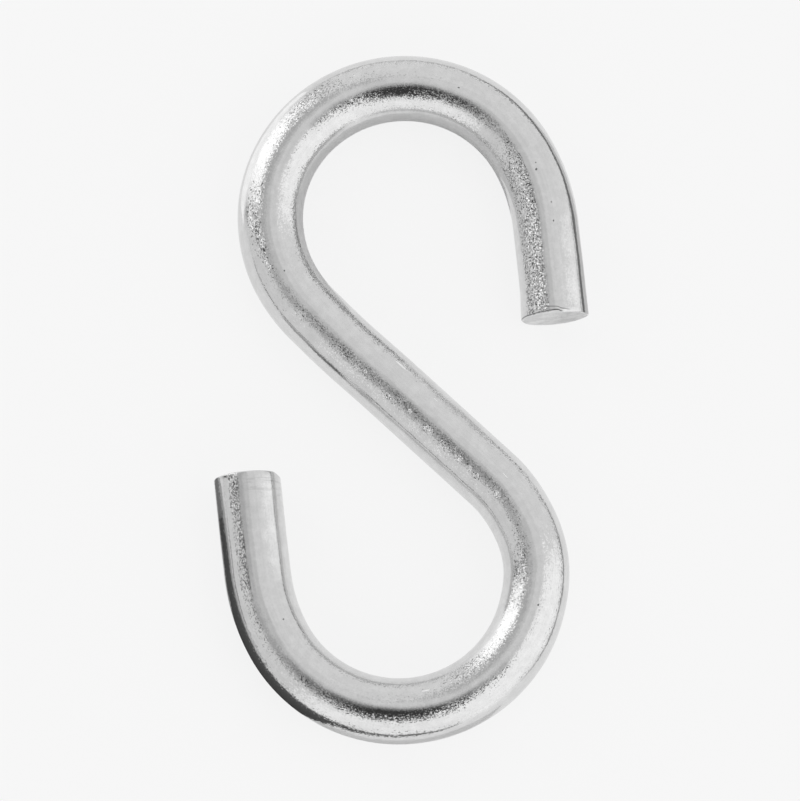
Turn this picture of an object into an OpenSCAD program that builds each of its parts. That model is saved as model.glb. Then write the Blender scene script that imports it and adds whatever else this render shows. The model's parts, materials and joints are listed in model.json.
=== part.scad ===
// S hook, bent cold from one length of round wire and plated afterwards.
//
// It lies on its side as it comes to rest: +Z is up off the surface, +Y runs along the hook
// from one bend to the other, and the origin is on that surface, under the middle of the shank.
// Each half is a path of straight lengths and round bends, every one tangent to the next, and
// the second half is the first turned half round about the Z axis. Millimetres throughout.

/* [Wire] */
// Diameter of the wire
wire_d = 6; // [5:0.5:6.5]
// How much the diameter draws down in the slack curve; the bend draws down twice as much
draw_down = 0.02; // [0.02:0.01:0.12]

/* [Hook] */
// Length of the hook over both bends
hook_len = 63.5; // [62:0.5:75]
// Inside diameter of each bend
bend_in_d = 18.6; // [17:0.1:20]
// Angle that each bend turns the wire through
bend_angle = 199; // [192:1:204]
// Centreline radius of the slack curve, where the wire springs back after the bend
slack_r = 17.5; // [15:0.5:20]
// Angle that the slack curve turns the wire through
slack_angle = 22; // [16:1:24]
// Straight length from the slack curve to the cropped end
tip_len = 8.6; // [6:0.1:10]

/* [Cropped ends] */
// Radius that the shears and the tumbling leave on the rim of each end
rim_round = 0.15; // [0.1:0.05:0.6]

/* [Quality] */
// Facets round the wire
wire_facets = 48; // [24:8:72]

/* [Hidden] */

slack_d = wire_d - draw_down;
bend_d = wire_d - 2 * draw_down;
bend_r = (bend_in_d + bend_d) / 2;

// Distance of each bend's centre from the middle of the hook, along Y
bend_centre_y = (hook_len - bend_d) / 2 - bend_r;
// The shank is the inner tangent common to the bends, so its half length and its lean are a
// side and an angle of the right triangle between hook centre, bend centre and tangent point
shank_half = sqrt(bend_centre_y ^ 2 - bend_r ^ 2);
shank_lean = asin(bend_r / bend_centre_y);
// Each curve runs on this many degrees inside the thicker wire that it joins
lap_angle = 1.5;

zinc = [0.77, 0.78, 0.79];

s_hook();

// The whole hook, as one solid wire
module s_hook() {
    color(zinc)
        translate([0, 0, wire_d / 2])
            union() {
                shank();
                hook_end();
                rotate(180) hook_end();
            }
}

// Straight wire between the bends, through the middle of the hook
module shank() {
    rotate(shank_lean)
        rotate([90, 0, 0])
            cylinder(d = wire_d, h = 2 * shank_half, center = true, $fn = wire_facets);
}

// Everything past one end of the shank: the bend, the slack curve and the cropped tip
module hook_end() {
    rotate(shank_lean)
        translate([0, shank_half, 0]) {
            curve(bend_d, bend_r, -lap_angle, bend_angle + lap_angle);
            past_curve(bend_r, bend_angle) {
                curve(slack_d, slack_r, 0, slack_angle + lap_angle);
                past_curve(slack_r, slack_angle) cropped_tip();
            }
        }
}

// Wire that passes the origin along +Y and turns right, from one angle of its turn to another
module curve(d, radius, from, to) {
    translate([radius, 0, 0])
        rotate_extrude(start = 180 - to, angle = to - from, $fn = 2 * wire_facets)
            translate([radius, 0])
                circle(d = d, $fn = wire_facets);
}

// Carries its children to where a curve ends, and turns them to run on from it
module past_curve(radius, angle) {
    translate([radius, 0, 0])
        rotate(-angle)
            translate([-radius, 0, 0])
                children();
}

// Straight wire from the origin along +Y that ends square, with its rim rounded
module cropped_tip() {
    rotate([-90, 0, 0])
        rotate_extrude($fn = wire_facets)
            tip_section();
}

// Half section of the tip: a rectangle from the axis to the skin, with its outer corner round
module tip_section() {
    rim_centre = [wire_d / 2 - rim_round, tip_len - rim_round];
    square([wire_d / 2, rim_centre.y]);
    square([rim_centre.x, tip_len]);
    translate(rim_centre)
        intersection() {
            circle(r = rim_round, $fn = wire_facets);
            square(rim_round);
        }
}
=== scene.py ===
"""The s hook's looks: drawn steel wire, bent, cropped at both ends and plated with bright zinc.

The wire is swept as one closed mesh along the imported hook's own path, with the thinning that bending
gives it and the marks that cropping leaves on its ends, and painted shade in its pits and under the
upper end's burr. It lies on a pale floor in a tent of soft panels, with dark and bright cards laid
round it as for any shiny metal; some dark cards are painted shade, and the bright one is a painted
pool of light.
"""

import json
from math import asin, ceil, cos, pi, radians, sin, sqrt

import bmesh
import bpy
from mathutils import Matrix, Vector


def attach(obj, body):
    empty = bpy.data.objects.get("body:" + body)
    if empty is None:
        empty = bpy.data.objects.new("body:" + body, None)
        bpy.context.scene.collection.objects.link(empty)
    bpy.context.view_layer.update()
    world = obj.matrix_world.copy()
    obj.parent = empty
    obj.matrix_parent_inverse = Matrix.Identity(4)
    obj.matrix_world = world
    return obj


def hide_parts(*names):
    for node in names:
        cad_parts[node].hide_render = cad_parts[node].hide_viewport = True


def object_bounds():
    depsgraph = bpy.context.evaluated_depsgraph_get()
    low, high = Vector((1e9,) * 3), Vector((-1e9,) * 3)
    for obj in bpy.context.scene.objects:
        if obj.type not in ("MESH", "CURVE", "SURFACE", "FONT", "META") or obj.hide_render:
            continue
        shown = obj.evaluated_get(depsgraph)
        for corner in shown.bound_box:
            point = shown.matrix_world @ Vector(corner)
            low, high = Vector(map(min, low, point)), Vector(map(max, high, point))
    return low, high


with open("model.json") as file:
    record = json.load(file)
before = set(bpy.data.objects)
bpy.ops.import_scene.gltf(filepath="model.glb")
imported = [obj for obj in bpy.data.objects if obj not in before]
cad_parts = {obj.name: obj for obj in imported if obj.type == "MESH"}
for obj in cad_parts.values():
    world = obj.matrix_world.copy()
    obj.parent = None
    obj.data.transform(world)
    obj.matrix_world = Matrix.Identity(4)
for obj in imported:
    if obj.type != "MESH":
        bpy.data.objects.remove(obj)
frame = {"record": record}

cad_low, cad_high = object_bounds()
MM = 0.001

# ---------------------------------------------------------------- sizes of the wire, in metres

mounts = {mount["name"]: mount for mount in frame["record"]["mounts"]}

# The plating's skin is drawn just inside the CAD wire
SKIN = 0.002 * MM
WIRE_R = (cad_high.z - cad_low.z) / 2 - SKIN
DRAW_DOWN = 0.02 * MM
BEND_WIRE_R = WIRE_R - DRAW_DOWN
BEND_R = mounts["upper_seat"]["dims"]["r_mm"] * MM + BEND_WIRE_R
BEND_ANGLE = radians(199)
SLACK_R = 17.5 * MM
SLACK_ANGLE = radians(22)
TIP_LENGTH = 8.6 * MM
RIM_ROUND = 0.15 * MM

# The shank is the inner tangent common to both bends
BEND_CENTRE_Y = cad_high.y - BEND_WIRE_R - BEND_R
SHANK_HALF = sqrt(BEND_CENTRE_Y**2 - BEND_R**2)
SHANK_LEAN = asin(BEND_R / BEND_CENTRE_Y)
WIRE_HEIGHT = (cad_high.z + cad_low.z) / 2

BEND_LENGTH = BEND_R * BEND_ANGLE
SLACK_LENGTH = SLACK_R * SLACK_ANGLE
HALF_LENGTH = SHANK_HALF + BEND_LENGTH + SLACK_LENGTH + TIP_LENGTH
# Length over which the wire thins as it runs from the shank into a bend
THINNING_RUN = 3 * MM

# Where the bending pins pushed the wire out of true, each as the middle of the push along the wire,
# its reach either way and its depth to the right of travel, in millimetres
PUSHES = (
    (9, 4, -0.04),
    (49.5, 5, 0.12),
    (75.5, 5, -0.07),
    (82, 5, 0.08),
    (87, 6, 0.06),
    (137, 4, 0.03),
)

# The mesh: points round a ring, the space between rings, and rings on an end's rim and face
SEGMENTS = 96
RING_SPACING = 0.3 * MM
RIM_STEPS = 5
FACE_RINGS = 8
# Two lengths along the wire this close, in millimetres, are the same
TOUCH = 1e-4

# Lengths over which the skin follows an end that isn't square or is squeezed wider, in millimetres
CUT_RUN = 1.2
FLARE_RUN = 3.0
# How the ends depart from a square cut, in millimetres. Each departure is followed by where across
# the wire, to the right of travel, it begins and where it is complete.
LOWER_SLANT = 0.08
LOWER_SLANT_ACROSS = (1.5, -3.0)
LOWER_WEAR = 0.28
LOWER_WEAR_ACROSS = (-2.3, -3.0)
UPPER_SET_BACK = 0.02
UPPER_STEP = 0.2
UPPER_STEP_ACROSS = (-0.1, -0.5)
UPPER_FLARE = 0.15
FLARE_ACROSS = (0, 2.5)
# Heights from the wire's middle between which the upper end's step grows to its full depth
UPPER_STEP_UP = (-2, 2)
# The cropped faces take the hook's second material
CROPPED_SLOT = 1


# ---------------------------------------------------------------- the wire's mesh

# A place along the wire is a matrix: X is up, Y is to the right of travel, Z is along the wire.


def run_on(length, turn=0.0):
    """The step from one place to the next, along a length that turns right by an angle."""
    if not turn:
        return Matrix.Translation((0, 0, length))
    radius = length / turn
    pivot = Matrix.Translation((0, radius, 0))
    return pivot @ Matrix.Rotation(-turn, 4, "X") @ pivot.inverted()


def lower_end():
    """The place of the lower end, facing into the wire."""
    up, right, along = Vector((0, 0, 1)), Vector((1, 0, 0)), Vector((0, 1, 0))
    middle = Matrix((up, right, along)).transposed().to_4x4()
    middle = Matrix.Translation((0, 0, WIRE_HEIGHT)) @ Matrix.Rotation(SHANK_LEAN, 4, "Z") @ middle
    upper_end = (
        middle
        @ run_on(SHANK_HALF)
        @ run_on(BEND_LENGTH, BEND_ANGLE)
        @ run_on(SLACK_LENGTH, SLACK_ANGLE)
        @ run_on(TIP_LENGTH)
    )
    return Matrix.Rotation(pi, 4, "Z") @ upper_end @ Matrix.Rotation(pi, 4, "X")


def smooth_step(low, high, value):
    """0 below low, 1 above high, and a smooth S between them."""
    part = min(max((value - low) / (high - low), 0.0), 1.0)
    return part * part * (3 - 2 * part)


def wire_radius(along):
    """The wire's radius at a length from the lower end: it is drawn thinner in each bend."""
    from_middle = abs(along - HALF_LENGTH)
    bend_end = SHANK_HALF + BEND_LENGTH
    thinned = smooth_step(SHANK_HALF, SHANK_HALF + THINNING_RUN, from_middle)
    thinned *= 1 - smooth_step(bend_end, bend_end + SLACK_LENGTH, from_middle)
    return WIRE_R + thinned * (BEND_WIRE_R - WIRE_R)


def sideways(along):
    """How far the bending pins have pushed the wire to the right of its true path."""
    return sum(
        depth * MM * (1 - smooth_step(0, reach, abs(along / MM - middle)))
        for middle, reach, depth in PUSHES
    )


class Ring:
    """A ring of the wire's mesh: its edges, its place and the matrices that lay a unit ring there."""

    def __init__(self, place, along, radius):
        self.place, self.along = place, along
        thick = Matrix.Diagonal((radius, radius, 1, 1))
        self.bent = place @ Matrix.Translation((0, sideways(along), 0)) @ thick
        self.straight = Matrix.Translation((0, 0, along)) @ thick

    def start(self, mesh):
        """Makes the first ring, in a mesh that holds nothing else yet."""
        verts = bmesh.ops.create_circle(mesh, segments=SEGMENTS, radius=1)["verts"]
        self.edges = list(mesh.edges)
        self.lay(mesh, verts, self.bent, Matrix.Identity(4))
        return self

    def follow(self, mesh, last):
        """Extrudes the last ring to make this one."""
        made = bmesh.ops.extrude_edge_only(mesh, edges=last.edges)["geom"]
        verts = [item for item in made if isinstance(item, bmesh.types.BMVert)]
        self.edges = [item for item in made if isinstance(item, bmesh.types.BMEdge)]
        self.lay(mesh, verts, self.bent @ last.bent.inverted(), last.bent.inverted())
        return self

    def lay(self, mesh, verts, motion, to_unit):
        """Moves the ring's points here, and notes where each one lies on the unbent wire."""
        straight_place = mesh.verts.layers.float_vector["straight_mm"]
        for vert in verts:
            vert[straight_place] = self.straight @ (to_unit @ vert.co) / MM
        bmesh.ops.transform(mesh, matrix=motion, verts=verts)


def sweep_wire(mesh):
    """Sweeps a ring from the lower end to the upper one, and returns the first and the last."""
    skin_tip = TIP_LENGTH - RIM_ROUND
    runs = (
        (skin_tip, 0.0),
        (SLACK_LENGTH, -SLACK_ANGLE),
        (BEND_LENGTH, -BEND_ANGLE),
        (2 * SHANK_HALF, 0.0),
        (BEND_LENGTH, BEND_ANGLE),
        (SLACK_LENGTH, SLACK_ANGLE),
        (skin_tip, 0.0),
    )
    first = ring = Ring(lower_end() @ run_on(RIM_ROUND), RIM_ROUND, WIRE_R).start(mesh)
    for length, turn in runs:
        steps = ceil(length / RING_SPACING)
        step = run_on(length / steps, turn / steps)
        for _ in range(steps):
            along = ring.along + length / steps
            ring = Ring(ring.place @ step, along, wire_radius(along)).follow(mesh, ring)
    return first, ring


def place_of_end(skin_end, outward):
    """How far along the wire its cropped face is, in millimetres."""
    return (skin_end.along + outward * RIM_ROUND) / MM


def crop_end(mesh, skin_end, outward):
    """Closes an end with a rounded rim and a cropped face. outward is 1 where the wire runs out."""
    ring = skin_end
    angles = [pi / 2 * step / RIM_STEPS for step in range(1, RIM_STEPS + 1)]
    profile = [(WIRE_R - RIM_ROUND * (1 - cos(angle)), RIM_ROUND * sin(angle)) for angle in angles]
    face_r = WIRE_R - RIM_ROUND
    profile += [(face_r * (1 - step / FACE_RINGS), RIM_ROUND) for step in range(1, FACE_RINGS)]
    for radius, reach in profile:
        reach *= outward
        place = skin_end.place @ run_on(reach)
        ring = Ring(place, skin_end.along + reach, radius).follow(mesh, ring)
    bmesh.ops.contextual_create(mesh, geom=ring.edges)
    straight_place = mesh.verts.layers.float_vector["straight_mm"]
    end = place_of_end(skin_end, outward)
    for face in mesh.faces:
        if all(abs(vert[straight_place].z - end) < TOUCH for vert in face.verts):
            face.material_index = CROPPED_SLOT


def shape_end(mesh, skin_end, outward, cut_back, flare):
    """Moves the end's rim and face back by what a rule gives for each height and rightward place.

    The blades also squeeze the end wider to its right by the flare, in millimetres.
    """
    straight_place = mesh.verts.layers.float_vector["straight_mm"]
    frame_there = skin_end.place.to_3x3()
    axis, rightward = frame_there @ Vector((0, 0, outward)), frame_there @ Vector((0, 1, 0))
    end = place_of_end(skin_end, outward)
    for vert in mesh.verts:
        up, right, along = vert[straight_place]
        share = smooth_step(CUT_RUN, 0, abs(along - end))
        vert.co -= axis * share * cut_back(up, right) * MM
        share = smooth_step(FLARE_RUN, 0, abs(along - end))
        vert.co += rightward * share * flare * smooth_step(*FLARE_ACROSS, right) * MM


def lower_cut(_up, right):
    """The lower end is a little short at its left, where its corner is worn round too."""
    slant = LOWER_SLANT * smooth_step(*LOWER_SLANT_ACROSS, right)
    worn = LOWER_WEAR * smooth_step(*LOWER_WEAR_ACROSS, right)
    return slant + worn


def upper_cut(up, right):
    """The two blades met out of line, so the upper end's left half stands proud at the top."""
    across = smooth_step(*UPPER_STEP_ACROSS, right)
    return UPPER_SET_BACK - UPPER_STEP * across * smooth_step(*UPPER_STEP_UP, up)


def finished_piece(mesh, name):
    """Turns a bmesh into an object of the scene."""
    data = bpy.data.meshes.new(name)
    mesh.to_mesh(data)
    mesh.free()
    piece = bpy.data.objects.new(name, data)
    bpy.context.scene.collection.objects.link(piece)
    return piece


def drawn_wire():
    """The whole wire: swept, cropped at both ends and closed."""
    mesh = bmesh.new()
    mesh.verts.layers.float_vector.new("straight_mm")
    lower, upper = sweep_wire(mesh)
    ends = (
        (lower, -1, lower_cut, 0),
        (upper, 1, upper_cut, UPPER_FLARE),
    )
    for skin_end, outward, cut_back, flare in ends:
        crop_end(mesh, skin_end, outward)
        shape_end(mesh, skin_end, outward, cut_back, flare)
    bmesh.ops.recalc_face_normals(mesh, faces=mesh.faces)
    for face in mesh.faces:
        face.smooth = True
    return finished_piece(mesh, "drawn_wire")


# ---------------------------------------------------------------- tools for the materials

FLOAT, VECTOR = "NodeSocketFloat", "NodeSocketVector"


def connect(tree, socket, value):
    """Gives a socket a value, or links another node's output to it."""
    if isinstance(value, bpy.types.NodeSocket):
        tree.links.new(value, socket)
    else:
        socket.default_value = value


def node(tree, kind, settings=(), **inputs):
    """Adds a node. Inputs are given by socket name, each as a value or another node's output."""
    made = tree.nodes.new(kind)
    for name, value in dict(settings).items():
        setattr(made, name, value)
    for name, value in inputs.items():
        connect(tree, made.inputs[name], value)
    return made


def in_order(tree, made, values):
    """Connects values to a node's sockets from the first on, and returns its first output."""
    for socket, value in zip(made.inputs, values):
        connect(tree, socket, value)
    return made.outputs[0]


def maths(tree, operation, *values):
    return in_order(tree, node(tree, "ShaderNodeMath", {"operation": operation}), values)


def vector_maths(tree, operation, *values):
    return in_order(tree, node(tree, "ShaderNodeVectorMath", {"operation": operation}), values)


def scaled(tree, vector, factor):
    made = node(tree, "ShaderNodeVectorMath", {"operation": "SCALE"}, Scale=factor)
    return in_order(tree, made, [vector])


def length_of(tree, vector):
    made = node(tree, "ShaderNodeVectorMath", {"operation": "LENGTH"})
    in_order(tree, made, [vector])
    return made.outputs["Value"]


def mixed(tree, label, share, low, high):
    """Goes from low to high as the share goes from 0 to 1. The label says what is mixed in."""
    made = node(tree, "ShaderNodeMix", {"label": label}, Factor=share, A=low, B=high)
    return made.outputs["Result"]


def ramp(tree, value, low, high, out_low=0.0, out_high=1.0):
    """Goes smoothly from out_low to out_high as the value goes from low to high."""
    made = node(tree, "ShaderNodeMapRange", {"interpolation_type": "SMOOTHSTEP"}, Value=value)
    ends = {"From Min": low, "From Max": high, "To Min": out_low, "To Max": out_high}
    for name, number in ends.items():
        connect(tree, made.inputs[name], number)
    return made.outputs["Result"]


def product(tree, *values):
    """Multiplies any number of values."""
    made = values[0]
    for value in values[1:]:
        made = maths(tree, "MULTIPLY", made, value)
    return made


def rest_of(tree, mask):
    """The part of the surface that a mask leaves."""
    return maths(tree, "SUBTRACT", 1.0, mask)


def window(tree, value, low, high, softness):
    """1 between low and high, with edges of that softness, and 0 outside."""
    rise = ramp(tree, value, low - softness, low + softness)
    return maths(tree, "MULTIPLY", rise, ramp(tree, value, high + softness, high - softness))


def cloudy(tree, place, clouds, **more):
    """Soft noise round 0.5. The clouds are given as how many there are in a millimetre and detail."""
    fineness, detail = clouds
    made = node(tree, "ShaderNodeTexNoise", Vector=place, Scale=fineness, Detail=detail, **more)
    return made.outputs["Fac"]


def new_group(name, inputs, outputs):
    """A shader node group with float or vector sockets. Returns its tree, inlet and outlet."""
    tree = bpy.data.node_groups.new(name, "ShaderNodeTree")
    for socket, kind in inputs.items():
        tree.interface.new_socket(socket, in_out="INPUT", socket_type=kind)
    for socket, kind in outputs.items():
        tree.interface.new_socket(socket, in_out="OUTPUT", socket_type=kind)
    return tree, tree.nodes.new("NodeGroupInput"), tree.nodes.new("NodeGroupOutput")


def new_material(name):
    material = bpy.data.materials.new(name)
    material.use_nodes = True
    return material, material.node_tree


def new_metal(name, roughness):
    """A metal material. Returns it with its tree, its shader and the place on the unbent wire."""
    material, tree = new_material(name)
    shader = tree.nodes["Principled BSDF"]
    shader.inputs["Metallic"].default_value = 1.0
    shader.inputs["Roughness"].default_value = roughness
    place = node(tree, "ShaderNodeAttribute", {"attribute_name": "straight_mm"}).outputs["Vector"]
    return material, tree, shader, place


# ---------------------------------------------------------------- the wire's finishes

# Patterns read the place on the unbent wire, in millimetres: X up, Y to the right of travel, and Z
# along the wire from its lower end.

# Crystals of the plating: how many in a millimetre, how their place is scaled to draw them out
# along the wire, how far the steepest lean, and the chances, from 0 to 1, that make one a pit
GRAIN_FINENESS = 14.0
GRAIN_STRETCH = (1, 1, 0.7)
GRAIN_LEAN = 0.16
PIT_CHANCES = (0.72, 1.0)
# Painted shade that a pit takes off the zinc's tone, all over and on the tips' pitted strips besides
PIT_PAINTED_SHADE = 0.04
TIP_PIT_PAINTED_SHADE = 0.3
# Grain's cover where the plating is smooth, what coarse plating adds to it, how coarse the upper
# tip's side and the lower bend's outer side are, and what a cluster of large crystals adds
SMOOTH_COVER = 0.14
COARSE_COVER = 0.86
UPPER_SIDE_COVER = 2.2
OUTER_SIDE_COVER = 0.6
CLUSTER_COVER = 3.2

# Clouds of the patterns, each as how many there are in a millimetre and their detail
PATCHES = (0.45, 2.0)
WAVES = (0.22, 1.0)
BLOTCHES = (1.3, 3.0)
FLECKS = (5.0, 2.0)
BLADE_LINES = (3.2, 2.0)
TORN = (1.1, 4.0)
# How rough torn steel's clouds and the drawing lines are
ROUGH_CLOUDS = 0.6

# Lines of the drawing die: how their place is scaled to draw them out along the wire, their detail,
# how many there are in a millimetre of zinc and of a cropped face, the values of their clouds that
# are dark and light, and their depth in millimetres
LINE_STRETCH = (1, 1, 0.02)
LINE_DETAIL = 3.0
ZINC_LINES = 4.0
CROPPED_LINES = 2.0
LINE_RANGE = (0.3, 0.7)
LINE_DEPTH = 0.002
# Unevenness of the drawn and bent wire, depth of a pit and height of a scratch's burr, in millimetres
WAVE_HEIGHT = 0.12
PIT_DEPTH = 0.03
SCRATCH_BURR = 0.012

# The zinc's tone, and what each finish adds to it. Blotches give two values of their clouds, and the
# tones that those add. The last tone is the painted shade that the middle of a pit takes off, as a
# share.
ZINC_TONE = 0.645
LINE_TONE = 0.03
PATCH_TONE = 0.06
FLECK_TONE = 0.07
BLOTCH_TONES = (0.35, 0.7, -0.02, 0.03)
BLADE_TONE = -0.08
SCRATCH_TONE = 0.25
PIT_SHADE = 0.75

ZINC_ROUGHNESS = 0.11

# Where the finish changes along the wire, each as where the change begins and where it is complete
LOWER_TIP = (20, 12)
OUTER_SIDE = (34, 26)
UPPER_TIP = (118, 124)
UPPER_BEND_END = (131, 125)
# The same across it, to the right of travel
LEFT_OF_TOP = (0.3, -0.3)
UPPER_RUBBED_HALF = (0.2, -0.2)
UPPER_SIDE_EDGE = (0.35, 0.75)
OUTER_SIDE_EDGE = (2.35, 2.55)
# And up it, from its middle: the bottom and top of the coarse flanks, which lie higher on the left
FLANK_BOTTOM = (1.7, 2.05)
FLANK_TOP = (2.96, 2.84)
LEFT_BOTTOM_RISE = 0.3
LEFT_TOP_RISE = 0.045
UPPER_SIDE_BOTTOM = (1.55, 1.8)
UPPER_SIDE_TOP = (2.98, 2.9)
# Strips of pitted plating and of pits with more painted shade, as left edge, right edge and softness
PITTED_STRIP = (0.95, 1.75, 0.15)
DARKER_PIT_STRIP = (0.7, 1.4, 0.2)
# How smooth rubbing has left the upper tip's left half
UPPER_SMOOTHNESS = 0.85
# How coarse the flanks are in patches, as two values of their clouds and the coarseness at each
PATCHY = (0.3, 0.6, 0.5, 1.0)

# Marks of handling, each as its length along the wire, its angle round from the top (+ is to the
# right of travel), its radius and its reach along the wire, in millimetres and degrees
PITS = (
    (84.4, 0, 0.10, 0.10),
    (82.25, 39, 0.07, 0.10),
    (114.25, -6, 0.07, 0.14),
    (124.7, -4, 0.13, 0.13),
    (124.1, -8, 0.06, 0.09),
    (44.85, 11, 0.11, 0.11),
    (53.9, 48, 0.08, 0.14),
    (14.25, -21, 0.09, 0.09),
    (127.9, -13, 0.06, 0.09),
    (129.6, -12, 0.07, 0.12),
    (86.8, -20, 0.14, 0.22),
)
SCRATCHES = (
    (70.7, 35, 0.12, 0.85),
    (66.2, 30, 0.05, 0.30),
    (31.2, -23, 0.10, 0.50),
    (56.9, 12, 0.05, 0.40),
)
# Clusters of large crystals, given in the same way
CLUSTERS = (
    (72.6, -18, 0.18, 0.25),
    (69.5, -24, 0.28, 0.40),
    (67.1, -18, 0.22, 0.30),
    (64.8, -20, 0.40, 0.60),
    (63.1, -21, 0.25, 0.30),
    (61.0, -21, 0.35, 0.40),
    (59.7, -22, 0.30, 0.35),
    (58.8, -24, 0.35, 0.45),
    (56.1, -20, 0.35, 0.50),
    (85.5, -22, 0.25, 0.60),
    (87.8, -19, 0.35, 0.80),
    (89.8, -33, 0.50, 1.30),
    (99.1, -17, 0.30, 1.50),
)
# Where a mark fades, in its own radii from its middle
MARK_EDGE = (1.1, 0.6)

# Burr rolled over at the upper end, shown by dark lines of painted shade. Its first line runs on the
# rim: how far before the end it begins and stops, its softness, where it fades at the left, and its
# darkness
RIM_LINE = (0.13, 0.05)
RIM_LINE_SOFTNESS = 0.03
RIM_LINE_FADE = (-0.6, -0.2)
RIM_LINE_SHADE = 0.7
# The second runs slanting behind the first: its distance from the end, its slant, where it fades to
# either side of its own middle, its left and right end and their softness, and its darkness
BURR_BEHIND = 0.4
BURR_SLANT = 0.13
BURR_FADE = (0.075, 0.02)
BURR_ENDS = (-1.1, 1.0, 0.4)
BURR_SHADE = 0.5

# Marks of the cropping blade on the zinc: their stretch round the wire, which clouds make them, how
# far from the lower end they begin, stop and fade, and where they fade at the right
BLADE_STRETCH = (0.12, 0.12, 1)
BLADE_RANGE = (0.52, 0.62)
BLADE_REACH = (0.4, 3.6, 0.4)
BLADE_FADE = (0.6, -0.4)

# The cropped faces. Their tones are given as two places across the wire and the tone at each, and
# what torn steel adds as two values of its clouds and what each adds.
CROPPED_ROUGHNESS = 0.3
CROPPED_COVER = 0.5
CROPPED_TONES = (-1.0, 0.6, 0.56, 0.72)
CROPPED_LINE_DEPTH = 0.03
CROPPED_LINE_TONE = 0.04
TORN_DEPTH = 0.25
TORN_TONES = (0.35, 0.65, -0.07, 0.07)


def grain_group():
    """Crystals of the plating: each tilts the surface its own way, and the steepest are few."""
    sockets = {"Normal": VECTOR, "Place": VECTOR, "Fineness": FLOAT, "Lean": FLOAT, "Cover": FLOAT}
    tree, inlet, outlet = new_group("plating_grain", sockets, {"Normal": VECTOR, "Pits": FLOAT})
    given = inlet.outputs
    drawn_out = vector_maths(tree, "MULTIPLY", given["Place"], GRAIN_STRETCH)
    cells = node(tree, "ShaderNodeTexVoronoi", Vector=drawn_out, Scale=given["Fineness"])
    crystal = cells.outputs["Color"]
    tilt = vector_maths(tree, "MULTIPLY_ADD", crystal, (2, 2, 2), (-1, -1, -1))
    steep = vector_maths(tree, "MULTIPLY", tilt, vector_maths(tree, "ABSOLUTE", tilt))
    lean = maths(tree, "MULTIPLY", given["Lean"], given["Cover"])
    leaning = vector_maths(tree, "ADD", given["Normal"], scaled(tree, steep, lean))
    tree.links.new(vector_maths(tree, "NORMALIZE", leaning), outlet.inputs["Normal"])
    # Some crystals are pits, which the zinc darkens with painted shade
    chance = node(tree, "ShaderNodeSeparateXYZ", Vector=crystal).outputs["X"]
    pits = maths(tree, "MULTIPLY", ramp(tree, chance, *PIT_CHANCES), given["Cover"])
    tree.links.new(pits, outlet.inputs["Pits"])
    return tree


def draw_line_group():
    """Fine lines that the drawing die leaves along the wire, as a height and a tone from 0 to 1."""
    sockets = {"Place": VECTOR, "Fineness": FLOAT}
    tree, inlet, outlet = new_group("draw_lines", sockets, {"Height": FLOAT, "Tone": FLOAT})
    drawn_out = vector_maths(tree, "MULTIPLY", inlet.outputs["Place"], LINE_STRETCH)
    clouds = (inlet.outputs["Fineness"], LINE_DETAIL)
    lines = cloudy(tree, drawn_out, clouds, Roughness=ROUGH_CLOUDS)
    tree.links.new(lines, outlet.inputs["Height"])
    tree.links.new(ramp(tree, lines, *LINE_RANGE), outlet.inputs["Tone"])
    return tree


def below_top_line(tree, up, right):
    """The two flanks of the rubbed top line, which lies a little higher on the left."""
    on_left = ramp(tree, right, *LEFT_OF_TOP)
    bottom = maths(tree, "MULTIPLY_ADD", on_left, -LEFT_BOTTOM_RISE, up)
    top = maths(tree, "MULTIPLY_ADD", on_left, -LEFT_TOP_RISE, up)
    return product(tree, ramp(tree, bottom, *FLANK_BOTTOM), ramp(tree, top, *FLANK_TOP))


def coarseness(tree, patches, up, right, along):
    """Where the plating is coarse and where it is pitted besides, as two masks. The second sets how
    much painted shade the pits take.
    """
    on_lower_tip, on_upper_tip = ramp(tree, along, *LOWER_TIP), ramp(tree, along, *UPPER_TIP)
    flanks = below_top_line(tree, up, right)
    beside_top = maths(tree, "MULTIPLY", flanks, ramp(tree, patches, *PATCHY))
    # The lower tip is rubbed smooth but for one strip, and the upper one all down its left
    strip = window(tree, right, *PITTED_STRIP)
    smooth_lower = maths(tree, "MULTIPLY", on_lower_tip, rest_of(tree, strip))
    rubbed_half = ramp(tree, right, *UPPER_RUBBED_HALF)
    smooth_upper = product(tree, on_upper_tip, rubbed_half, UPPER_SMOOTHNESS)
    smooth = maths(tree, "MAXIMUM", smooth_lower, smooth_upper)
    beside_top = maths(tree, "MULTIPLY", beside_top, rest_of(tree, smooth))
    above, below = ramp(tree, up, *UPPER_SIDE_BOTTOM), ramp(tree, up, *UPPER_SIDE_TOP)
    upper_side = product(tree, on_upper_tip, ramp(tree, right, *UPPER_SIDE_EDGE), above, below)
    at_widest = ramp(tree, right, *OUTER_SIDE_EDGE)
    outer_side = product(tree, ramp(tree, along, *OUTER_SIDE), at_widest, OUTER_SIDE_COVER)
    coarse = maths(tree, "MULTIPLY", upper_side, UPPER_SIDE_COVER)
    coarse = maths(tree, "MAXIMUM", maths(tree, "MAXIMUM", beside_top, coarse), outer_side)
    coarse = maths(tree, "MULTIPLY_ADD", coarse, COARSE_COVER, SMOOTH_COVER)
    # Pits take more painted shade in a strip where the upper tip leaves its bend
    darker_pit_strip = window(tree, right, *DARKER_PIT_STRIP)
    darker_pits = product(tree, upper_side, ramp(tree, along, *UPPER_BEND_END), darker_pit_strip)
    pitted = maths(tree, "MAXIMUM", product(tree, on_lower_tip, strip, flanks), upper_side)
    return coarse, maths(tree, "ADD", pitted, darker_pits)


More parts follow.
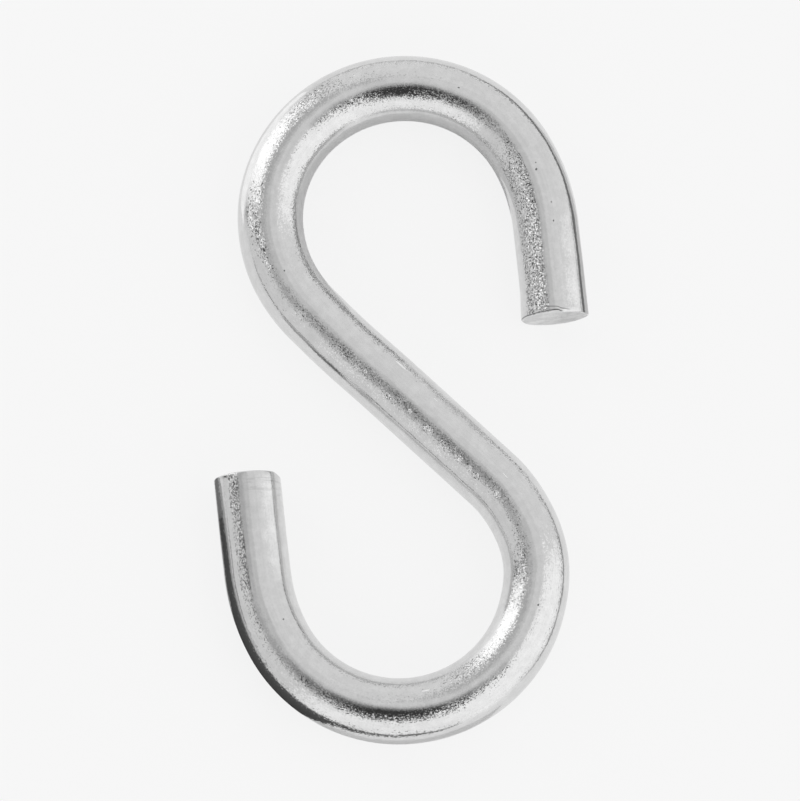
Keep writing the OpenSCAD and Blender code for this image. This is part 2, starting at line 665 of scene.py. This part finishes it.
def marks(tree, place, places):
    """A mask that is 1 inside any of the marks."""
    mask = 0.0
    for along, angle, radius, reach in places:
        turn = radians(angle)
        middle = (WIRE_R / MM * cos(turn), WIRE_R / MM * sin(turn), along)
        off = vector_maths(tree, "SUBTRACT", place, middle)
        off = vector_maths(tree, "MULTIPLY", off, (1 / radius, 1 / radius, 1 / reach))
        mask = maths(tree, "MAXIMUM", mask, ramp(tree, length_of(tree, off), *MARK_EDGE))
    return mask


def rim_lines(tree, right, along):
    """Painted shade of the rolled-over burr: dark lines on the upper end's rim and just behind it."""
    end = 2 * HALF_LENGTH / MM
    begin, stop = RIM_LINE
    on_rim = window(tree, along, end - begin, end - stop, RIM_LINE_SOFTNESS)
    rim = product(tree, on_rim, ramp(tree, right, *RIM_LINE_FADE), RIM_LINE_SHADE)
    slanted = maths(tree, "MULTIPLY_ADD", right, BURR_SLANT, along)
    off = maths(tree, "ABSOLUTE", maths(tree, "SUBTRACT", slanted, end - BURR_BEHIND))
    across = window(tree, right, *BURR_ENDS)
    behind = product(tree, ramp(tree, off, *BURR_FADE), across, BURR_SHADE)
    return maths(tree, "MAXIMUM", rim, behind)


def blade_marks(tree, place, right, along):
    """Marks that the cropping blade left round the wire near its lower end."""
    round_wire = vector_maths(tree, "MULTIPLY", place, BLADE_STRETCH)
    lines = ramp(tree, cloudy(tree, round_wire, BLADE_LINES), *BLADE_RANGE)
    near_end = window(tree, along, *BLADE_REACH)
    return product(tree, lines, near_end, ramp(tree, right, *BLADE_FADE))


def add_grain(tree, grain, place, height, cover):
    """Lays the grain over a surface with that height, in millimetres, and returns its outputs."""
    bump = node(tree, "ShaderNodeBump", Strength=1.0, Distance=MM, Height=height)
    return node(
        tree,
        "ShaderNodeGroup",
        {"node_tree": grain},
        Normal=bump.outputs["Normal"],
        Place=place,
        Fineness=GRAIN_FINENESS,
        Lean=GRAIN_LEAN,
        Cover=cover,
    ).outputs


def add_draw_lines(tree, draw_lines, place, fineness):
    """Draws the die's lines on a surface, and returns their height and tone."""
    settings = {"node_tree": draw_lines}
    return node(tree, "ShaderNodeGroup", settings, Place=place, Fineness=fineness).outputs


def zinc_height(tree, place, lines, pits, scratches):
    """The zinc's height in millimetres."""
    height = maths(tree, "MULTIPLY", lines["Height"], LINE_DEPTH)
    height = maths(tree, "MULTIPLY_ADD", cloudy(tree, place, WAVES), WAVE_HEIGHT, height)
    height = maths(tree, "MULTIPLY_ADD", pits, -PIT_DEPTH, height)
    return maths(tree, "MULTIPLY_ADD", scratches, SCRATCH_BURR, height)


def zinc_material(grain, draw_lines):
    """Bright zinc on drawn wire: coarser on top and beneath, where hooks rub in the plating barrel."""
    material, tree, shader, place = new_metal("bright_zinc", ZINC_ROUGHNESS)
    axes = node(tree, "ShaderNodeSeparateXYZ", Vector=place).outputs
    up, right, along = maths(tree, "ABSOLUTE", axes["X"]), axes["Y"], axes["Z"]
    lines = add_draw_lines(tree, draw_lines, place, ZINC_LINES)
    patches = cloudy(tree, place, PATCHES)
    coarse, pitted = coarseness(tree, patches, up, right, along)
    coarse = maths(tree, "MULTIPLY_ADD", marks(tree, place, CLUSTERS), CLUSTER_COVER, coarse)
    pits, scratches = marks(tree, place, PITS), marks(tree, place, SCRATCHES)
    height = zinc_height(tree, place, lines, pits, scratches)
    crystals = add_grain(tree, grain, place, height, coarse)
    tree.links.new(crystals["Normal"], shader.inputs["Normal"])

    tone = maths(tree, "MULTIPLY_ADD", lines["Tone"], LINE_TONE, ZINC_TONE)
    tone = maths(tree, "MULTIPLY_ADD", patches, PATCH_TONE, tone)
    blotches = ramp(tree, cloudy(tree, place, BLOTCHES), *BLOTCH_TONES)
    tone = maths(tree, "ADD", tone, blotches)
    tone = maths(tree, "MULTIPLY_ADD", cloudy(tree, place, FLECKS), FLECK_TONE, tone)
    # Pits take painted shade off the zinc's tone
    pit_painted_shade = maths(tree, "MULTIPLY_ADD", pitted, -TIP_PIT_PAINTED_SHADE, -PIT_PAINTED_SHADE)
    tone = maths(tree, "MULTIPLY_ADD", crystals["Pits"], pit_painted_shade, tone)
    tone = maths(tree, "MULTIPLY_ADD", blade_marks(tree, place, right, along), BLADE_TONE, tone)
    tone = maths(tree, "MULTIPLY_ADD", scratches, SCRATCH_TONE, tone)
    # Painted shade in the marked pits and along the upper end's burr
    shade = maths(tree, "MULTIPLY", pits, PIT_SHADE)
    shade = maths(tree, "MAXIMUM", shade, rim_lines(tree, right, along))
    tone = maths(tree, "MULTIPLY", tone, rest_of(tree, shade))
    tree.links.new(tone, shader.inputs["Base Color"])
    return material


def cropped_material(grain, draw_lines):
    """The cropped ends: torn steel, thinly plated, with marks that run the way the blades went."""
    material, tree, shader, place = new_metal("cropped_end", CROPPED_ROUGHNESS)
    right = node(tree, "ShaderNodeSeparateXYZ", Vector=place).outputs["Y"]
    # Turned so that the lines run down the face, from one blade to the other
    turned = node(tree, "ShaderNodeMapping", Vector=place, Rotation=(0, pi / 2, 0)).outputs["Vector"]
    lines = add_draw_lines(tree, draw_lines, turned, CROPPED_LINES)
    torn = cloudy(tree, place, TORN, Roughness=ROUGH_CLOUDS)
    height = maths(tree, "MULTIPLY", lines["Height"], CROPPED_LINE_DEPTH)
    height = maths(tree, "MULTIPLY_ADD", torn, TORN_DEPTH, height)
    crystals = add_grain(tree, grain, place, height, CROPPED_COVER)
    tree.links.new(crystals["Normal"], shader.inputs["Normal"])
    tone = ramp(tree, right, *CROPPED_TONES)
    tone = maths(tree, "ADD", tone, ramp(tree, torn, *TORN_TONES))
    tone = maths(tree, "MULTIPLY_ADD", lines["Tone"], CROPPED_LINE_TONE, tone)
    tree.links.new(tone, shader.inputs["Base Color"])
    return material


# ---------------------------------------------------------------- floor and cards

# The floor's half width in metres, its tone to the eye, and how much of that tone the eye and
# reflections see whatever light falls on it. The rest is matt, and in reflections the floor also
# shines at a slant.
FLOOR_HALF = 2.0
FLOOR_TONE = 0.97
FLOOR_LIFT = 0.85
REFLECTED_LIFT = 0.72
FLOOR_MATT_TONE = 0.9
FLOOR_ROUGHNESS = 0.3
FLOOR_IOR = 1.5

# Cards on the floor, each as its grey and its corners in millimetres. The cards named as shade, and
# the one close beside the wire's right side, are painted shade where the hook shades the floor
CARD_LIFT = 0.05 * MM
CARD_ROUGHNESS = 0.8
CARDS = {
    "tip_card": (0.24, (
        (-18.35, -5.5), (-18.15, -11), (-26.7, -11), (-22.7, -5.5),
    )),
    "black_card": (0.075, (
        (-18.15, -11), (-17.8, -14.5), (-17, -19), (-14.2, -22.1), (-11.1, -24.5), (-8.9, -27.2),
        (-8.4, -33), (-8.3, -37), (-3, -43.5), (4, -46), (10, -47.5), (10, -51.5), (-2, -51),
        (-14, -48), (-30, -44), (-34, -37), (-34.5, -22), (-28.5, -13), (-26.7, -11),
    )),
    "rim_shade": (0.68, (
        (-16.5, -5.5), (-16.5, -12), (-15.5, -17.5), (-12.9, -21), (-14.2, -22.1), (-17, -19),
        (-17.8, -14.5), (-18.15, -11), (-18.35, -5.5),
    )),
    "foot_shade": (0.95, (
        (-8.4, -30), (-8.4, -33), (-6, -35), (2, -36.5), (10, -35.5), (14, -32), (9, -30), (2, -32),
    )),
    "side_card": (0.48, (
        (-22.7, -5.5), (-26.7, -11), (-28.5, -13), (-34.5, -22), (-34, -37), (-30, -44), (-36, -48),
        (-48, -43), (-53, -22), (-44, -9),
    )),
    "foot_card": (0.2, (
        (10, -51.5), (-2, -51), (-14, -48), (-30, -44), (-36, -48), (-30, -57), (-16, -61), (0, -66),
        (12, -65), (17, -54), (17, -50), (10, -47.5),
    )),
    "left_gap": (0.2, (
        (-72, -20), (-85, -62), (-400, -280), (-400, 0), (-100, -4),
    )),
    "right_gap": (0.2, (
        (22.8, 6), (22.2, 11), (21.6, 19), (22.6, 26), (21.6, 34), (18.8, 42), (25, 50), (31, 42),
        (31.6, 31), (29.5, 21), (29.5, 12), (29.5, 4),
    )),
    "corner_gap": (0.3, (
        (19.5, 42), (15, 48), (14, 60), (22, 76), (46, 74), (38, 56), (32, 40), (30, 42), (25, 49),
    )),
    "top_gap": (0.5, (
        (-17, 46), (-8, 48), (0, 49), (8, 49), (15, 48), (14, 58), (0, 57), (-16, 54), (-21, 49),
    )),
    # Painted shade on the floor close beside the wire's right side
    "right_near_shade": (0.85, (
        (17.8, 5), (17.6, 14), (18.2, 22), (17.3, 29), (18.4, 33.5), (20.6, 37.5), (21.6, 34),
        (22.6, 26), (21.6, 19), (22.2, 11), (22.8, 6),
    )),
    "low_gap": (0.38, (
        (24.6, 3), (29, 3), (34, 14), (34, 30), (38, 30), (40, 12), (31, -1), (31, -35), (26, -38),
    )),
    "bowl_shade": (0.97, (
        (-9, 11), (-9.5, 20), (-5, 26), (2, 28.5), (7, 27.5), (10.5, 22), (9, 17.5), (5, 20),
        (-1, 14),
    )),
}
# Painted light that the wire throws on the floor beside its bright side: glowing cards, as brightness
# and corners
GLOWS = {
    "pool_of_light": (1.12, (
        (-19.5, 19), (-17.3, 27), (-12.5, 33), (-16, 40), (-30, 44), (-52, 42), (-38, 28), (-27, 17),
    )),
}
# Kinds of ray that a card is hidden from
HIDDEN_FROM = ("camera", "diffuse", "shadow", "transmission")


def grey(tone):
    return (tone, tone, tone, 1)


def mixed_shader(tree, share, first, second):
    """Goes from the first shader to the second as the share goes from 0 to 1."""
    return in_order(tree, node(tree, "ShaderNodeMixShader"), [share, first, second])


def floor_material():
    """Pale floor: white to the eye and in reflections, with a faint trace of the hook's shadow."""
    material, tree = new_material("pale_floor")
    tree.nodes.clear()
    path = node(tree, "ShaderNodeLightPath").outputs
    seen = maths(tree, "MULTIPLY", path["Is Camera Ray"], FLOOR_LIFT)
    reflected = maths(tree, "MAXIMUM", path["Is Glossy Ray"], path["Is Transmission Ray"])
    lifted = maths(tree, "MULTIPLY_ADD", reflected, REFLECTED_LIFT, seen)
    matt = node(tree, "ShaderNodeBsdfDiffuse", Color=grey(FLOOR_MATT_TONE)).outputs[0]
    white = node(tree, "ShaderNodeEmission", Color=grey(FLOOR_TONE), Strength=1.0).outputs[0]
    sheet = mixed_shader(tree, lifted, matt, white)
    gloss = node(tree, "ShaderNodeBsdfGlossy", Color=grey(1), Roughness=FLOOR_ROUGHNESS).outputs[0]
    fresnel = node(tree, "ShaderNodeFresnel", IOR=FLOOR_IOR).outputs[0]
    sheen = maths(tree, "MULTIPLY", fresnel, path["Is Glossy Ray"])
    node(tree, "ShaderNodeOutputMaterial", Surface=mixed_shader(tree, sheen, sheet, gloss))
    return material


def lay_floor():
    mesh = bmesh.new()
    bmesh.ops.create_grid(mesh, x_segments=1, y_segments=1, size=FLOOR_HALF)
    floor = finished_piece(mesh, "floor")
    floor.data.materials.append(floor_material())


def card_material(name, tone, glow=0.0):
    material, tree = new_material(name)
    shader = tree.nodes["Principled BSDF"]
    shader.inputs["Base Color"].default_value = grey(tone)
    shader.inputs["Roughness"].default_value = CARD_ROUGHNESS
    shader.inputs["Emission Color"].default_value = grey(1)
    shader.inputs["Emission Strength"].default_value = glow
    return material


def lay_card(name, corners, material):
    """Lays a card on the floor, which only the hook's reflections see."""
    mesh = bmesh.new()
    mesh.faces.new([mesh.verts.new((x * MM, y * MM, CARD_LIFT)) for x, y in corners])
    card = finished_piece(mesh, name)
    card.data.materials.append(material)
    for ray in HIDDEN_FROM:
        setattr(card, "visible_" + ray, False)


def lay_cards():
    for name, (tone, corners) in CARDS.items():
        lay_card(name, corners, card_material(name, tone))
    for name, (glow, corners) in GLOWS.items():
        lay_card(name, corners, card_material(name, 0.0, glow))


# ---------------------------------------------------------------- light

# Panels of the tent, painted in this order: compass centre from +Y, half width, bottom, top and
# softness of the edges, all in degrees, and brightness. The wall behind them has its own brightness.
TENT = {
    "left_wall": (-108, 30, -90, 52, 4, 0.76),
    "ceiling_back": (-125, 45, 50, 90, 7, 0.47),
    "ceiling_left": (-48, 42, 52, 90, 10, 0.66),
    "ceiling_right": (50, 55, 60, 90, 5, 0.78),
    "key_hood": (-46, 34, 50, 69, 4, 0.52),
    "crossbar": (172, 22, 44, 60, 6, 0.42),
    "key_spill": (-52.5, 23, -14, 46, 5, 1.08),
    "key": (-52.5, 11, -12, 42, 6, 1.5),
    "left_frame_low": (-78, 3.3, -14, 32, 2, 0.06),
    "left_frame_high": (-83.5, 4.5, 35, 57, 2.5, 0.03),
    "right_frame": (-30, 2.5, -14, 50, 2, 0.20),
    "right": (112, 42, -13, 68, 4, 1.12),
    "front": (-172, 35, -10, 42, 4, 1.04),
}
WALL = 0.83
ZENITH = 90
HALF_TURN = 180
# The opening that the camera looks in through, on a ceiling at a height of 1: how far its middle
# lies back, its half sizes, where its edge fades, the lowest direction it is in and its brightness
OPENING_BACK = 0.44
OPENING_HALF_ACROSS = 0.40
OPENING_HALF_BACK = 0.45
OPENING_EDGE = (1.35, 0.45)
OPENING_LOWEST = 0.1
OPENING_TONE = 0.04


def panel_mask(tree, compass, height, centre, half, bottom, top, softness):
    """1 inside a panel of the tent and 0 outside. A panel that reaches the zenith has no top edge."""
    off = maths(tree, "WRAP", maths(tree, "SUBTRACT", compass, centre), HALF_TURN, -HALF_TURN)
    mask = ramp(tree, maths(tree, "ABSOLUTE", off), half + softness, half - softness)
    mask = maths(tree, "MULTIPLY", mask, ramp(tree, height, bottom - softness, bottom + softness))
    if top < ZENITH:
        mask = maths(tree, "MULTIPLY", mask, ramp(tree, height, top + softness, top - softness))
    return mask


def opening_mask(tree, axes):
    """1 inside the opening that the camera looks in through, and 0 outside."""
    across = maths(tree, "DIVIDE", maths(tree, "DIVIDE", axes["X"], axes["Z"]), OPENING_HALF_ACROSS)
    back = maths(tree, "ADD", maths(tree, "DIVIDE", axes["Y"], axes["Z"]), OPENING_BACK)
    back = maths(tree, "DIVIDE", back, OPENING_HALF_BACK)
    squares = maths(tree, "ADD", maths(tree, "POWER", across, 2), maths(tree, "POWER", back, 2))
    inside = ramp(tree, maths(tree, "SQRT", squares), *OPENING_EDGE)
    overhead = maths(tree, "GREATER_THAN", axes["Z"], OPENING_LOWEST)
    return maths(tree, "MULTIPLY", inside, overhead)


def light_tent():
    """Lights the scene by a tent of soft panels. The camera itself sees plain white instead."""
    world = bpy.data.worlds.new("tent")
    bpy.context.scene.world = world
    world.use_nodes = True
    tree = world.node_tree
    tree.nodes.clear()
    direction = node(tree, "ShaderNodeTexCoord").outputs["Generated"]
    axes = node(tree, "ShaderNodeSeparateXYZ", Vector=direction).outputs
    to_degrees = HALF_TURN / pi
    compass = maths(tree, "MULTIPLY", maths(tree, "ARCTAN2", axes["X"], axes["Y"]), to_degrees)
    height = maths(tree, "MULTIPLY", maths(tree, "ARCSINE", axes["Z"]), to_degrees)
    level = WALL
    for name, (*edges, brightness) in TENT.items():
        mask = panel_mask(tree, compass, height, *edges)
        level = mixed(tree, name, mask, level, brightness)
    level = mixed(tree, "opening", opening_mask(tree, axes), level, OPENING_TONE)
    path = node(tree, "ShaderNodeLightPath").outputs
    level = mixed(tree, "to_the_eye", path["Is Camera Ray"], level, FLOOR_TONE)
    background = node(tree, "ShaderNodeBackground", Color=grey(1), Strength=level).outputs[0]
    node(tree, "ShaderNodeOutputWorld", Surface=background)


# ---------------------------------------------------------------- camera

CAMERA_DISTANCE = 653 * MM
CAMERA_ELEVATION = radians(78.185)
CAMERA_AZIMUTH = radians(0.953)
CAMERA_LENS = 324.6
CAMERA_AIM = Vector((-0.177 * MM, -0.320 * MM, 3 * MM))
FARTHEST_SEEN = 10


def set_camera():
    data = bpy.data.cameras.new("camera")
    data.lens = CAMERA_LENS
    data.clip_end = FARTHEST_SEEN
    camera = bpy.data.objects.new("camera", data)
    right = sin(CAMERA_AZIMUTH) * cos(CAMERA_ELEVATION)
    forward = -cos(CAMERA_AZIMUTH) * cos(CAMERA_ELEVATION)
    back = Vector((right, forward, sin(CAMERA_ELEVATION)))
    camera.location = CAMERA_AIM + CAMERA_DISTANCE * back
    camera.rotation_euler = back.to_track_quat("Z", "Y").to_euler()
    bpy.context.scene.collection.objects.link(camera)
    bpy.context.scene.camera = camera


# ---------------------------------------------------------------- the scene

hook = drawn_wire()
grain, draw_lines = grain_group(), draw_line_group()
hook.data.materials.append(zinc_material(grain, draw_lines))
hook.data.materials.append(cropped_material(grain, draw_lines))
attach(hook, "root")
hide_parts("s_hook")

lay_floor()
lay_cards()
light_tent()
set_camera()
bpy.context.scene.view_settings.view_transform = "Standard"
